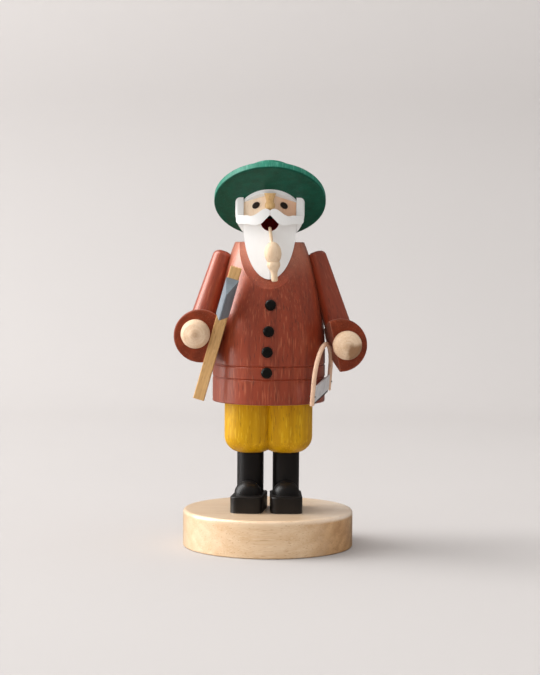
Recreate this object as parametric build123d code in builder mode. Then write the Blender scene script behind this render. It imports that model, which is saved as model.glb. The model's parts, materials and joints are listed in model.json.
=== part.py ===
from build123d import *
from math import acos, cos, degrees, radians, sin, sqrt, tan
import os

# Turned wooden incense smoker: a bearded woodsman on a round stand.
# Millimetres, +Z up, the figure faces -Y, origin at the middle of the stand's underside.
# Left and right are the figure's own: its left arm is on the +X side.

# Clearances
glue_gap = 0.1
seat_gap = 0.04
spigot_gap = 0.3

# Stand
base_radius = 43.5
base_height = 18.8
base_top_round = 1.6
base_foot_round = 0.8

# Shoes and boots
shoe_width = 16.2
shoe_toe_reach = 19.6
shoe_heel_reach = 9.0
shoe_height = 8.4
shoe_toe_round = 4.2
shoe_heel_round = 3.0
shoe_edge_round = 0.7
toe_out_left = 1.0
toe_out_right = 7.0
boot_spread = 9.1
boot_radius = 6.8
boot_height = 20.8
boot_sink = 2.6
tenon_radius = 3.0
tenon_depth = 8.0
toe_cap_radius = 6.9
toe_cap_height = 7.0
toe_cap_forward = 9.2
toe_cap_land = 0.4

# Trousers
trouser_radius = 13.4
trouser_height = 26.9
trouser_round = 8.5
leg_dowel_radius = 3.0
leg_dowel_low = 8.0
leg_dowel_high = 3.5

# Plug that closes the coat, with the hearth
hem_wall = 3.7
plug_thickness = 5.5
hearth_radius = 11.0
hearth_height = 3.0
draught_radius = 2.5
dish_radius = 9.5
dish_floor = 0.5
dish_rim_height = 1.3
dish_rim_width = 0.5
nail_radius = 0.6
nail_length = 6.0
nail_head_radius = 1.5
nail_head_height = 0.7
nail_head_round = 0.4

# Coat
hem_drop = 0.5
coat_radius = 28.7
coat_side_height = 23.6
coat_top_radius = 17.6
coat_height = 81.1
coat_edge_round = 0.6
groove_heights = (12.6, 19.0)
groove_depth = 0.5
groove_half_width = 0.55
chamber_wall = 7.2
chamber_side_height = 32.0
chamber_roof_radius = 9.0
chamber_roof_height = 24.0
facet_top = 9.0
facet_angle = 55.8
duct_radius = 4.0
duct_forward = 8.0

# Head
head_radius = 13.2
head_ridge = 13.2
head_cheek = 8.6
head_forward = 9.5
beard_length = 27.0
beard_top = 8.5
mouth_radius = 4.5
mouth_height = 10.1
duct_head_room = 3.0

# Hat, tipped back
hat_tilt = 37.7
hat_forward = 14.0
hat_height = 19.5
brim_radius = 28.0
brim_thickness = 3.9
brim_edge_round = 0.7
crown_radius = 15.0
crown_top_radius = 13.4
crown_height = 13.1
crown_round = 3.4
crown_foot_round = 1.2
hat_dowel_radius = 1.75
hat_dowel_spread = 7.6
hat_dowel_back = 6.8
hat_dowel_half = 5.5

# Face
face_back = 6.6
face_half_width = 13.1
face_bottom = 13.0
face_ridge = 12.5
fringe_radius = 16.6
fringe_height = 1.9
fringe_slope = 34.0
eye_half_width = 2.15
eye_half_height = 1.5
eye_thickness = 0.9
eye_round = 0.6
eye_offset = 6.9
eye_height = 18.3
eye_tilt = 32.0
eye_peg_radius = 0.8
eye_peg_length = 2.0
nose_radius = 2.55
nose_bridge_radius = 1.9
nose_height = 18.2
nose_length = 6.1
nose_forward = 13.1
nose_root_radius = 3.0
nose_bulge_angle = 50.0
nose_under_angle = 115.0
nose_set_in = 1.0

# Moustache and side hair
moustache_reach = 16.9
moustache_bow_radius = 23.4
moustache_front = 16.4
moustache_depth = 5.4
moustache_notch = 15.7
moustache_crest_x = 2.0
moustache_crest = 16.6
moustache_shoulder_x = 6.8
moustache_shoulder = 14.0
moustache_tail_x = 11.0
moustache_tail = 13.3
moustache_underside = 9.1
moustache_belly_x = 6.2
moustache_belly = 8.6
moustache_mouth_x = 4.1
moustache_mouth = 9.4
moustache_parting = 13.5
moustache_round = 1.5
moustache_half_gap = 0.05
hair_reach = 17.3
hair_front = 8.1
hair_back = 13.0
hair_bottom = 4.8
hair_front_round = 1.6
hair_taper_height = 14.8
hair_taper_length = 15.5
hair_top_round = 2.4

# Pipe
stem_radius = 0.8
stem_tip_x = 0.0
stem_tip_forward = 11.5
stem_tip_height = 7.1
bowl_x = 1.2
bowl_forward = 21.6
bowl_top = 0.3
bowl_lean = 4.0
bowl_bead_radius = 4.25
bowl_bead_height = 9.9
bowl_neck_radius = 2.9
bowl_small_bead_radius = 3.25
bowl_small_bead_drop = 2.0
bowl_taper_length = 4.4
bowl_tip_radius = 1.6
bowl_tip_length = 3.5
bowl_tip_round = 0.9

# Arms
shoulder_out = 5.8
shoulder_forward = 0.5
shoulder_drop = 5.0
arm_top_radius = 4.8
arm_low_radius = 7.2
arm_top_round = 3.0
elbow_out_left = 8.9
elbow_out_right = 6.9
elbow_forward_left = 9.0
elbow_forward_right = 10.0
elbow_height_left = 29.8
elbow_height_right = 34.0
arm_dowel_radius = 2.0
arm_dowel_depth = 8.0
arm_dowel_reach = 4.5
arm_dowel_drop = 11.0
elbow_dowel_radius = 2.0
elbow_dowel_length = 18.0

# Cuffs and hands
cuff_radius = 13.4
cuff_rim_round = 1.0
cuff_band = 2.5
cuff_back_radius = 8.4
cuff_length = 19.0
cuff_back_round = 3.5
cuff_toe_out = 5.0
cuff_dip = 5.0
cuff_out_left = 7.3
cuff_out_right = 5.9
cuff_forward = 20.0
cuff_height_left = 29.6
cuff_height_right = 33.8
flat_inset_left = 2.9
flat_inset_right = 5.2
flat_toe_out_left = 12.0
flat_toe_out_right = 5.0
flat_tilt_left = 13.8
flat_tilt_right = 16.1
hand_radius = 7.3
hand_tip_radius = 1.4
hand_tip_reach = 6.9
hand_set_in = 5.6
hand_cone_angle = 42.0
hand_tip_rise = 0.25
hand_out_left = 2.5
hand_out_right = 1.6
hand_up_left = 1.0
hand_up_right = 2.0
hand_peg_radius = 2.5
hand_peg_length = 6.0

# Buttons
button_heights = (49.9, 36.8, 26.6, 16.3)
button_offsets = (0.6, -0.3, -0.9, -1.1)
button_radius = 2.8
button_thickness = 1.9
button_round = 1.4
button_peg_radius = 1.0
button_peg_length = 3.0

# Axe
handle_width = 5.6
handle_thickness = 3.5
handle_upper_length = 38.6
handle_lower_length = 30.8
handle_lead = 1.5
handle_edge_round = 0.5
axe_width = 6.6
axe_depth = 11.5
axe_edge_width = 0.5
axe_drop = 5.8
axe_back_length = 19.0
axe_edge_drop = 12.5
axe_edge_length = 13.4

# Bow saw
bow_radius = 1.15
bow_span = 31.0
bow_height = 27.6
bow_foot_inset = 7.2
bow_foot_forward = 29.5
bow_foot_height = 0.3
bow_yaw = 17.4
bow_pitch = 10.0
bow_lean = 7.0
blade_low = -0.4
blade_height = 9.0
blade_thickness = 0.8
blade_teeth = 11
tooth_depth = 1.2
pin_radius = 0.4
pin_overhang = 0.35
blade_end = 0.6

# Places worked out from the sizes above
plug_radius = coat_radius - hem_wall
chamber_radius = coat_radius - chamber_wall
draught_offset = (hearth_radius + plug_radius) / 2
shoulder_x = coat_top_radius + shoulder_out
bow_foot_x = coat_radius - bow_foot_inset
shoe_top = base_height + shoe_height
boot_top = shoe_top + boot_height
trouser_top = boot_top + trouser_height
ledge = trouser_top + plug_thickness
hem = trouser_top - hem_drop
coat_top = hem + coat_height
head_y = -head_forward
head_foot = coat_top
mouth_z = head_foot + mouth_height
beard_z = head_foot + beard_top
trouser_x = boot_spread
duct_y = -duct_forward
face_y = head_y - face_back
face_z = head_foot + face_bottom
ridge_y = head_y - face_ridge
coat_inset = coat_radius - coat_top_radius
coat_bow = ((coat_height - coat_side_height) ** 2 + coat_inset**2) / (2 * coat_inset)
sides = {"left": 1, "right": -1}
keep_outer = {"left": Keep.TOP, "right": Keep.BOTTOM}

hat_plane = Plane(
    origin=(0, -hat_forward, coat_top + hat_height),
    x_dir=(1, 0, 0),
    z_dir=(0, sin(radians(hat_tilt)), cos(radians(hat_tilt))),
)
facet_plane = Plane(
    origin=(0, -facet_top, coat_top),
    x_dir=(1, 0, 0),
    z_dir=(0, -sin(radians(facet_angle)), cos(radians(facet_angle))),
)


def hat_underside(y):
    """Height of the hat's underside above the stand at depth y."""
    return coat_top + hat_height - (y + hat_forward) * tan(radians(hat_tilt))


fringe_plane = Plane(
    origin=(0, head_y - head_ridge, hat_underside(head_y - head_ridge) - fringe_height),
    x_dir=(1, 0, 0),
    z_dir=(0, sin(radians(fringe_slope)), cos(radians(fringe_slope))),
)


def coat_rise(z):
    """Height of z above the foot of the coat's bowed side."""
    return max(0.0, z - hem - coat_side_height)


def coat_radius_at(z):
    """Outer radius of the coat at height z."""
    return coat_radius - coat_bow + sqrt(coat_bow**2 - coat_rise(z) ** 2)


def coat_slope_at(z):
    """Inward lean of the coat's side at height z, as a share of the rise."""
    return coat_rise(z) / sqrt(coat_bow**2 - coat_rise(z) ** 2)


def cylinder_along(plane, radius, low, high):
    """A plain round bar on the plane's axis from low to high."""
    with BuildPart() as bar:
        with BuildSketch(plane.offset(low)):
            Circle(radius)
        extrude(amount=high - low)
    return bar.part


def axis_of(plane):
    """The axis through a plane's origin along its normal."""
    return Axis(plane.origin, plane.z_dir)


def finish(builder, name):
    """Labels a finished piece and writes it."""
    builder.part.label = name
    export_step(builder.part, f"parts/{name}.step")


os.makedirs("parts", exist_ok=True)

# Stand
with BuildPart() as base_disc:
    with BuildSketch():
        Circle(base_radius)
    extrude(amount=base_height)
    fillet(base_disc.edges().sort_by(Axis.Z)[-1], base_top_round)
    fillet(base_disc.edges().sort_by(Axis.Z)[0], base_foot_round)
    with BuildSketch(Plane.XY.offset(base_height)):
        with Locations((-boot_spread, 0), (boot_spread, 0)):
            Circle(tenon_radius + glue_gap)
    extrude(amount=-tenon_depth - glue_gap, mode=Mode.SUBTRACT)
finish(base_disc, "base_disc")

# Shoes, boots and trousers
shoe_turn = {"left": toe_out_left, "right": -toe_out_right}
for side, sign in sides.items():
    boot_x = sign * boot_spread
    shoe_plane = Plane(
        origin=(boot_x, 0, base_height),
        x_dir=(cos(radians(shoe_turn[side])), sin(radians(shoe_turn[side])), 0),
        z_dir=(0, 0, 1),
    )
    with BuildPart() as boot_shaft:
        with BuildSketch(Plane.XY.offset(shoe_top)):
            with Locations((boot_x, 0)):
                Circle(boot_radius)
        extrude(amount=boot_height + boot_sink)
        with BuildSketch(Plane.XY.offset(base_height - tenon_depth)):
            with Locations((boot_x, 0)):
                Circle(tenon_radius)
        extrude(amount=tenon_depth + shoe_height)
        with BuildSketch(Plane.XY.offset(boot_top + boot_sink)):
            with Locations((boot_x, 0)):
                Circle(tenon_radius)
        extrude(amount=tenon_depth)
    finish(boot_shaft, f"boot_shaft_{side}")

    with BuildPart() as shoe:
        with BuildSketch(shoe_plane) as sole:
            with Locations((0, (shoe_heel_reach - shoe_toe_reach) / 2)):
                Rectangle(shoe_width, shoe_toe_reach + shoe_heel_reach)
            fillet(sole.vertices().group_by(Axis.Y)[0], shoe_toe_round)
            fillet(sole.vertices().group_by(Axis.Y)[-1], shoe_heel_round)
        extrude(amount=shoe_height)
        fillet(shoe.faces().sort_by(Axis.Z)[-1].edges(), shoe_edge_round)
        with BuildSketch(shoe_plane):
            Circle(tenon_radius + glue_gap)
        extrude(amount=shoe_height, mode=Mode.SUBTRACT)
    finish(shoe, f"shoe_{side}")

    with BuildPart() as toe_cap:
        with BuildSketch(shoe_plane.offset(shoe_height)):
            with Locations((0, -toe_cap_forward)):
                Circle(toe_cap_radius)
        extrude(amount=toe_cap_height)
        fillet(toe_cap.edges().sort_by(Axis.Z)[-1], min(toe_cap_radius, toe_cap_height) - toe_cap_land)
        with BuildSketch(Plane.XY.offset(shoe_top)):
            with Locations((boot_x, 0)):
                Circle(boot_radius + seat_gap)
        extrude(amount=boot_height, mode=Mode.SUBTRACT)
    finish(toe_cap, f"toe_cap_{side}")

    with BuildPart() as trouser:
        with BuildSketch(Plane.XY.offset(boot_top)):
            with Locations((sign * trouser_x, 0)):
                Circle(trouser_radius)
        extrude(amount=trouser_height)
        fillet(trouser.edges().sort_by(Axis.Z)[0], trouser_round)
        split(bisect_by=Plane.YZ, keep=keep_outer[side])
        with BuildSketch(Plane.XY.offset(boot_top)):
            with Locations((boot_x, 0)):
                Circle(boot_radius + glue_gap)
        extrude(amount=boot_sink, mode=Mode.SUBTRACT)
        with BuildSketch(Plane.XY.offset(boot_top)):
            with Locations((boot_x, 0)):
                Circle(tenon_radius + glue_gap)
        extrude(amount=boot_sink + tenon_depth + glue_gap, mode=Mode.SUBTRACT)
        with BuildSketch(Plane.XY.offset(trouser_top)):
            with Locations((sign * trouser_x, 0)):
                Circle(leg_dowel_radius + glue_gap)
        extrude(amount=-leg_dowel_low - glue_gap, mode=Mode.SUBTRACT)
    finish(trouser, f"trouser_{side}")

with BuildPart() as leg_dowels:
    with BuildSketch(Plane.XY.offset(trouser_top - leg_dowel_low)):
        with Locations((-trouser_x, 0), (trouser_x, 0)):
            Circle(leg_dowel_radius)
    extrude(amount=leg_dowel_low + leg_dowel_high)
finish(leg_dowels, "leg_dowels")

# Plug, hearth and incense dish
hearth_top = ledge + hearth_height
with BuildPart() as hip_plug:
    with BuildSketch(Plane.XY.offset(trouser_top)):
        Circle(plug_radius)
    extrude(amount=plug_thickness)
    with BuildSketch(Plane.XY.offset(ledge)):
        Circle(hearth_radius)
    extrude(amount=hearth_height)
    with BuildSketch(Plane.XY.offset(trouser_top)):
        with Locations((0, -draught_offset), (0, draught_offset)):
            Circle(draught_radius)
    extrude(amount=plug_thickness, mode=Mode.SUBTRACT)
    with BuildSketch(Plane.XY.offset(trouser_top)):
        with Locations((-trouser_x, 0), (trouser_x, 0)):
            Circle(leg_dowel_radius + glue_gap)
    extrude(amount=leg_dowel_high + glue_gap, mode=Mode.SUBTRACT)
    with BuildSketch(Plane.XY.offset(hearth_top)):
        Circle(nail_radius + glue_gap)
    extrude(amount=-nail_length - glue_gap, mode=Mode.SUBTRACT)
finish(hip_plug, "hip_plug")

with BuildPart() as incense_plate:
    with BuildSketch(Plane.XY.offset(hearth_top)):
        Circle(dish_radius)
    extrude(amount=dish_rim_height)
    with BuildSketch(Plane.XY.offset(hearth_top + dish_floor)):
        Circle(dish_radius - dish_rim_width)
    extrude(amount=dish_rim_height - dish_floor, mode=Mode.SUBTRACT)
    with BuildSketch(Plane.XY.offset(hearth_top)):
        Circle(nail_radius + glue_gap)
    extrude(amount=dish_floor, mode=Mode.SUBTRACT)
finish(incense_plate, "incense_plate")

with BuildPart() as plate_nail:
    with BuildSketch(Plane.XY.offset(hearth_top - nail_length)):
        Circle(nail_radius)
    extrude(amount=nail_length + dish_floor)
    with BuildSketch(Plane.XY.offset(hearth_top + dish_floor)):
        Circle(nail_head_radius)
    extrude(amount=nail_head_height)
    fillet(plate_nail.edges().sort_by(Axis.Z)[-1], nail_head_round)
finish(plate_nail, "plate_nail")

# Frames of the arms, cuffs and hands
elbow = {
    "left": Vector(coat_radius + elbow_out_left, -elbow_forward_left, hem + elbow_height_left),
    "right": Vector(-coat_radius - elbow_out_right, -elbow_forward_right, hem + elbow_height_right),
}
cuff_centre = {
    "left": Vector(coat_radius + cuff_out_left, -cuff_forward, hem + cuff_height_left),
    "right": Vector(-coat_radius - cuff_out_right, -cuff_forward, hem + cuff_height_right),
}
flat_distance = {"left": flat_inset_left, "right": flat_inset_right}
flat_toe_out = {"left": flat_toe_out_left, "right": flat_toe_out_right}
flat_tilt = {"left": flat_tilt_left, "right": flat_tilt_right}
hand_out = {"left": hand_out_left, "right": hand_out_right}
hand_up = {"left": hand_up_left, "right": hand_up_right}


def level_plane(origin, sign, toe_out, dip):
    """The plane at a cuff whose x axis is level and whose normal points ahead, out and down."""
    turn = radians(toe_out)
    fall = radians(dip)
    ahead = Vector(sign * sin(turn) * cos(fall), -cos(turn) * cos(fall), -sin(fall))
    return Plane(origin=origin, x_dir=(cos(turn), sign * sin(turn), 0), z_dir=ahead)


arm_plane = {}
arm_length = {}
cuff_plane = {}
flat_plane = {}
dowel_plane = {}
arm_dowel_z = coat_top - arm_dowel_drop
for side, sign in sides.items():
    shoulder = Vector(sign * shoulder_x, -shoulder_forward, coat_top - shoulder_drop)
    run = elbow[side] - shoulder
    arm_plane[side] = Plane(origin=shoulder, x_dir=(0, 1, 0), z_dir=run)
    arm_length[side] = run.length
    cuff_plane[side] = level_plane(cuff_centre[side], sign, cuff_toe_out, cuff_dip)
    flat_level = level_plane(cuff_centre[side], sign, flat_toe_out[side], cuff_dip)
    lean = radians(flat_tilt[side])
    inward = flat_level.x_dir * (-sign * cos(lean)) - flat_level.y_dir * sin(lean)
    flat_plane[side] = Plane(
        origin=cuff_centre[side] + inward * flat_distance[side], x_dir=flat_level.z_dir, z_dir=inward
    )
    depth_share = (shoulder.Z - arm_dowel_z) / (shoulder.Z - elbow[side].Z)
    dowel_y = shoulder.Y + depth_share * (elbow[side].Y - shoulder.Y)
    dowel_plane[side] = Plane(
        origin=(sign * coat_radius_at(arm_dowel_z), dowel_y, arm_dowel_z),
        x_dir=(0, 1, 0),
        z_dir=(sign, 0, 0),
    )

# Coat
with BuildPart() as coat:
    with BuildSketch(Plane.XZ):
        with BuildLine():
            outline = [(plug_radius + spigot_gap, hem), (coat_radius, hem)]
            for height in groove_heights:
                outline += [
                    (coat_radius, hem + height - groove_half_width),
                    (coat_radius - groove_depth, hem + height),
                    (coat_radius, hem + height + groove_half_width),
                ]
            outline.append((coat_radius, hem + coat_side_height))
            Polyline(*outline)
            TangentArc(
                (coat_radius, hem + coat_side_height), (coat_top_radius, coat_top), tangent=(0, 1)
            )
            chamber_side_top = ledge + chamber_side_height
            chamber_top = chamber_side_top + chamber_roof_height
            Polyline(
                (coat_top_radius, coat_top),
                (0, coat_top),
                (0, chamber_top),
                (chamber_roof_radius, chamber_top),
                (chamber_radius, chamber_side_top),
                (chamber_radius, ledge),
                (plug_radius + spigot_gap, ledge),
                (plug_radius + spigot_gap, hem),
            )
        make_face()
    revolve(axis=Axis.Z)
    rims = coat.edges().filter_by(GeomType.CIRCLE)
    fillet(rims.group_by(Axis.Z)[0].sort_by(SortBy.RADIUS)[-1], coat_edge_round)
    fillet(rims.group_by(Axis.Z)[-1], coat_edge_round)
    split(bisect_by=facet_plane, keep=Keep.BOTTOM)
    with BuildSketch(Plane.XY.offset(chamber_top - duct_radius)):
        with Locations((0, duct_y)):
            Circle(duct_radius)
    extrude(amount=coat_top - chamber_top + 2 * duct_radius, mode=Mode.SUBTRACT)
    for side in sides:
        with BuildSketch(dowel_plane[side].offset(-arm_dowel_depth - glue_gap)):
            Circle(arm_dowel_radius + glue_gap)
        extrude(amount=2 * arm_dowel_depth, mode=Mode.SUBTRACT)
    button_planes = []
    for height, offset_x in zip(button_heights, button_offsets):
        z = hem + height
        y = -sqrt(coat_radius_at(z) ** 2 - offset_x**2)
        button_planes.append(
            Plane(origin=(offset_x, y, z), x_dir=(1, 0, 0), z_dir=(0, -1, coat_slope_at(z)))
        )
    for plane in button_planes:
        with BuildSketch(plane.offset(-button_peg_length - glue_gap)):
            Circle(button_peg_radius + glue_gap)
        extrude(amount=2 * button_peg_length, mode=Mode.SUBTRACT)
finish(coat, "coat")

for number, plane in enumerate(button_planes, start=1):
    with BuildPart() as button:
        with BuildSketch(plane.offset(-glue_gap)):
            Circle(button_radius)
        extrude(amount=button_thickness + glue_gap)
        dome_edge = button.faces().sort_by(axis_of(plane))[-1].edges()
        fillet(dome_edge, button_round)
        with BuildSketch(plane.offset(-button_peg_length)):
            Circle(button_peg_radius)
        extrude(amount=button_peg_length)
        add(coat.part, mode=Mode.SUBTRACT)
    finish(button, f"button_{number}")

# Pipe stem line, used by the head, the face and the bowl
bowl_y = head_y - bowl_forward
bowl_z = head_foot + bowl_top
stem_tip = Vector(stem_tip_x, head_y - stem_tip_forward, head_foot + stem_tip_height)
bowl_plane = Plane(
    origin=(bowl_x, bowl_y, bowl_z),
    x_dir=(cos(radians(bowl_lean)), 0, sin(radians(bowl_lean))),
    z_dir=(0, -1, 0),
)
stem_root = bowl_plane.origin - bowl_plane.y_dir * bowl_bead_radius
stem_run = stem_root - stem_tip
stem_plane = Plane(origin=stem_tip, z_dir=stem_run)
stem_hole = cylinder_along(stem_plane, stem_radius + glue_gap, -glue_gap, stem_run.length + glue_gap)

# Head with the beard
head_bottom = head_foot + beard_top - beard_length
head_span = beard_length + hat_height + head_radius + head_forward
dowel_places = [(sign * hat_dowel_spread, hat_dowel_back / cos(radians(hat_tilt))) for sign in (-1, 1)]
with BuildPart() as head:
    with BuildSketch(Plane.XY.offset(head_bottom)):
        with BuildLine():
            Polyline(
                (head_radius, head_y),
                (head_radius, head_y - head_cheek),
                (0, head_y - head_ridge),
                (-head_radius, head_y - head_cheek),
                (-head_radius, head_y),
            )
            ThreePointArc((-head_radius, head_y), (0, head_y + head_radius), (head_radius, head_y))
        make_face()
    extrude(amount=head_span)
    with BuildSketch(Plane.XZ):
        with Locations((0, beard_z)):
            Ellipse(head_radius, beard_length)
        with Locations((0, beard_z + head_span / 2)):
            Rectangle(2 * head_radius, head_span)
    extrude(amount=head_forward + 2 * head_radius, both=True, mode=Mode.INTERSECT)
    with BuildSketch(Plane.YZ):
        with BuildLine():
            run_down = beard_length / tan(radians(facet_angle))
            Polyline(
                (-facet_top, coat_top),
                (coat_radius, coat_top),
                (coat_radius, coat_top - beard_length),
                (-facet_top - run_down, coat_top - beard_length),
                close=True,
            )
        make_face()
    extrude(amount=coat_radius, both=True, mode=Mode.SUBTRACT)
    split(bisect_by=hat_plane, keep=Keep.BOTTOM)
    with BuildSketch(Plane.XY.offset(face_z)):
        with Locations((0, face_y - head_radius)):
            Rectangle(4 * head_radius, 2 * head_radius)
    extrude(amount=head_span, mode=Mode.SUBTRACT)
    with BuildSketch(Plane.XY.offset(coat_top - beard_length)):
        with Locations((0, duct_y)):
            Circle(duct_radius)
    extrude(amount=beard_length + mouth_height + duct_head_room, mode=Mode.SUBTRACT)
    with BuildSketch(Plane.XZ.offset(duct_forward)):
        with Locations((0, mouth_z)):
            Circle(mouth_radius)
    extrude(amount=2 * head_radius, mode=Mode.SUBTRACT)
    with BuildSketch(hat_plane):
        with Locations(*dowel_places):
            Circle(hat_dowel_radius + glue_gap)
    extrude(amount=-hat_dowel_half - glue_gap, mode=Mode.SUBTRACT)
    add(stem_hole, mode=Mode.SUBTRACT)
finish(head, "head")

# Face block with two facets meeting in a ridge
facet_turn = (face_ridge - face_back) / face_half_width
eye_planes = {}
for side, sign in sides.items():
    eye_y = ridge_y + eye_offset * facet_turn
    eye_planes[side] = Plane(
        origin=(sign * eye_offset, eye_y, head_foot + eye_height),
        x_dir=(1, sign * facet_turn, -sign * sqrt(1 + facet_turn**2) * tan(radians(eye_tilt))),
        z_dir=(sign * facet_turn, -1, 0),
    )
with BuildPart() as face:
    with BuildSketch(Plane.XY.offset(face_z)):
        with BuildLine():
            Polyline(
                (-face_half_width, face_y),
                (0, ridge_y),
                (face_half_width, face_y),
                close=True,
            )
        make_face()
    extrude(amount=head_span)
    split(bisect_by=fringe_plane, keep=Keep.BOTTOM)
    split(bisect_by=hat_plane, keep=Keep.BOTTOM)
    with BuildSketch(Plane.XZ.offset(duct_forward)):
        with Locations((0, mouth_z)):
            Circle(mouth_radius)
    extrude(amount=2 * head_radius, mode=Mode.SUBTRACT)
    for plane in eye_planes.values():
        with BuildSketch(plane):
            Circle(eye_peg_radius + glue_gap)
        extrude(amount=-eye_peg_length - glue_gap, mode=Mode.SUBTRACT)
    add(stem_hole, mode=Mode.SUBTRACT)
finish(face, "face")

for side, plane in eye_planes.items():
    with BuildPart() as eye:
        with BuildSketch(plane):
            Ellipse(eye_half_width, eye_half_height)
        extrude(amount=eye_thickness)
        fillet(eye.faces().sort_by(axis_of(plane))[-1].edges(), eye_round)
        with BuildSketch(plane):
            Circle(eye_peg_radius)
        extrude(amount=-eye_peg_length)
    finish(eye, f"eye_{side}")

# White hair under the brim: a fringe in front and a lock at each side
with BuildPart() as hair_fringe:
    with BuildSketch(Plane.XY.offset(face_z)):
        with Locations((0, head_y - head_ridge + fringe_radius)):
            Circle(fringe_radius)
        with Locations((0, face_y - head_radius)):
            Rectangle(2 * face_half_width, 2 * head_radius, mode=Mode.INTERSECT)
    extrude(amount=head_span)
    split(bisect_by=hat_plane, keep=Keep.BOTTOM)
    split(bisect_by=fringe_plane, keep=Keep.TOP)
finish(hair_fringe, "hair_fringe")

hair_locks = {}
for side, sign in sides.items():
    with BuildPart() as hair:
        hair_inner = head_radius + seat_gap
        hair_middle = sign * (hair_inner + hair_reach) / 2
        with BuildSketch(Plane.XY.offset(head_foot + hair_bottom)) as slab:
            with Locations((hair_middle, head_y + (hair_back - hair_front) / 2)):
                Rectangle(hair_reach - hair_inner, hair_front + hair_back)
            front_corners = slab.vertices().group_by(Axis.Y)[0].sort_by(Axis.X)
            fillet(front_corners[-1] if sign > 0 else front_corners[0], hair_front_round)
        extrude(amount=head_span)
        lock_top = hat_underside(head_y - hair_front)
        taper_top = head_foot + hair_taper_height
        with BuildSketch(Plane.XZ) as lock:
            with Locations((0, (taper_top + lock_top) / 2)):
                Rectangle(2 * hair_reach, lock_top - taper_top)
            fillet(lock.vertices().group_by(Axis.Y)[-1], hair_top_round)
            with Locations((0, taper_top)):
                Ellipse(hair_reach, hair_taper_length)
        extrude(amount=2 * head_radius + hair_back, both=True, mode=Mode.INTERSECT)
        split(bisect_by=hat_plane, keep=Keep.BOTTOM)
    finish(hair, f"hair_{side}")
    hair_locks[side] = hair

# Nose
nose_y = head_y - nose_forward
nose_z = head_foot + nose_height


def on_nose_ball(angle):
    """Point of the nose's round end at this angle from straight up."""
    return (nose_y - nose_radius * sin(radians(angle)), nose_z + nose_radius * cos(radians(angle)))


nose_bulge = on_nose_ball(nose_bulge_angle)
nose_under = on_nose_ball(nose_under_angle)
with BuildPart() as nose:
    with BuildSketch(Plane.YZ):
        with BuildLine():
            Polyline(
                (nose_y, nose_z + nose_length),
                (nose_y - nose_root_radius, nose_z + nose_length),
                (nose_y - nose_bridge_radius, nose_z + nose_radius),
                nose_bulge,
            )
            ThreePointArc(nose_bulge, nose_under, (nose_y, nose_z - nose_radius))
            Line((nose_y, nose_z - nose_radius), (nose_y, nose_z + nose_length))
        make_face()
    revolve(axis=Axis((0, nose_y, 0), (0, 0, 1)))
    add(face.part, mode=Mode.SUBTRACT)
    add(hair_fringe.part, mode=Mode.SUBTRACT)
    split(bisect_by=Plane(origin=(0, ridge_y + nose_set_in, 0), z_dir=(0, -1, 0)), keep=Keep.TOP)
    split(bisect_by=hat_plane, keep=Keep.BOTTOM)
finish(nose, "nose")

# Moustache, two lobes bowed round the head
bow_centre = head_y - moustache_front + moustache_bow_radius
for side, sign in sides.items():
    with BuildPart() as moustache:
        with BuildSketch(Plane.XY.offset(head_foot)):
            with Locations((0, bow_centre)):
                Circle(moustache_bow_radius)
                Circle(moustache_bow_radius - moustache_depth, mode=Mode.SUBTRACT)
            with Locations((0, bow_centre + moustache_bow_radius)):
                Rectangle(
                    4 * moustache_bow_radius, 2 * moustache_bow_radius, mode=Mode.SUBTRACT
                )
        extrude(amount=head_span)
        with BuildSketch(Plane.XZ) as lobe:
            with BuildLine():
                Spline(
                    (sign * moustache_half_gap, head_foot + moustache_notch),
                    (sign * moustache_crest_x, head_foot + moustache_crest),
                    (sign * moustache_shoulder_x, head_foot + moustache_shoulder),
                    (sign * moustache_tail_x, head_foot + moustache_tail),
                )
                Polyline(
                    (sign * moustache_tail_x, head_foot + moustache_tail),
                    (sign * moustache_reach, head_foot + moustache_tail),
                    (sign * moustache_reach, head_foot + moustache_underside),
                    (sign * moustache_tail_x, head_foot + moustache_underside),
                )
                Spline(
                    (sign * moustache_tail_x, head_foot + moustache_underside),
                    (sign * moustache_belly_x, head_foot + moustache_belly),
                    (sign * moustache_mouth_x, head_foot + moustache_mouth),
                )
                Polyline(
                    (sign * moustache_mouth_x, head_foot + moustache_mouth),
                    (sign * moustache_half_gap, head_foot + moustache_parting),
                    (sign * moustache_half_gap, head_foot + moustache_notch),
                )
            make_face()
            outer = lobe.vertices().sort_by(Axis.X)
            fillet(outer[-2:] if sign > 0 else outer[:2], moustache_round)
        extrude(amount=2 * moustache_bow_radius, both=True, mode=Mode.INTERSECT)
        add(head.part, mode=Mode.SUBTRACT)
        add(face.part, mode=Mode.SUBTRACT)
        add(nose.part, mode=Mode.SUBTRACT)
        add(hair_locks[side].part, mode=Mode.SUBTRACT)
    finish(moustache, f"moustache_{side}")

# Hat
hat_section = Plane(origin=hat_plane.origin, x_dir=hat_plane.x_dir, z_dir=hat_plane.y_dir * -1)
with BuildPart() as hat:
    with BuildSketch(hat_section) as turning:
        with BuildLine():
            Polyline(
                (0, 0),
                (brim_radius, 0),
                (brim_radius, brim_thickness),
                (crown_radius, brim_thickness),
                (crown_top_radius, brim_thickness + crown_height),
                (0, brim_thickness + crown_height),
                close=True,
            )
        make_face()
        corners = turning.vertices().group_by(Axis.X)
        fillet(corners[-1], brim_edge_round)
        fillet(corners[-2], crown_foot_round)
        fillet(corners[-3], crown_round)
    revolve(axis=axis_of(hat_plane))
    with BuildSketch(hat_plane):
        with Locations(*dowel_places):
            Circle(hat_dowel_radius + glue_gap)
    extrude(amount=hat_dowel_half + glue_gap, mode=Mode.SUBTRACT)
finish(hat, "hat")

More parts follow.
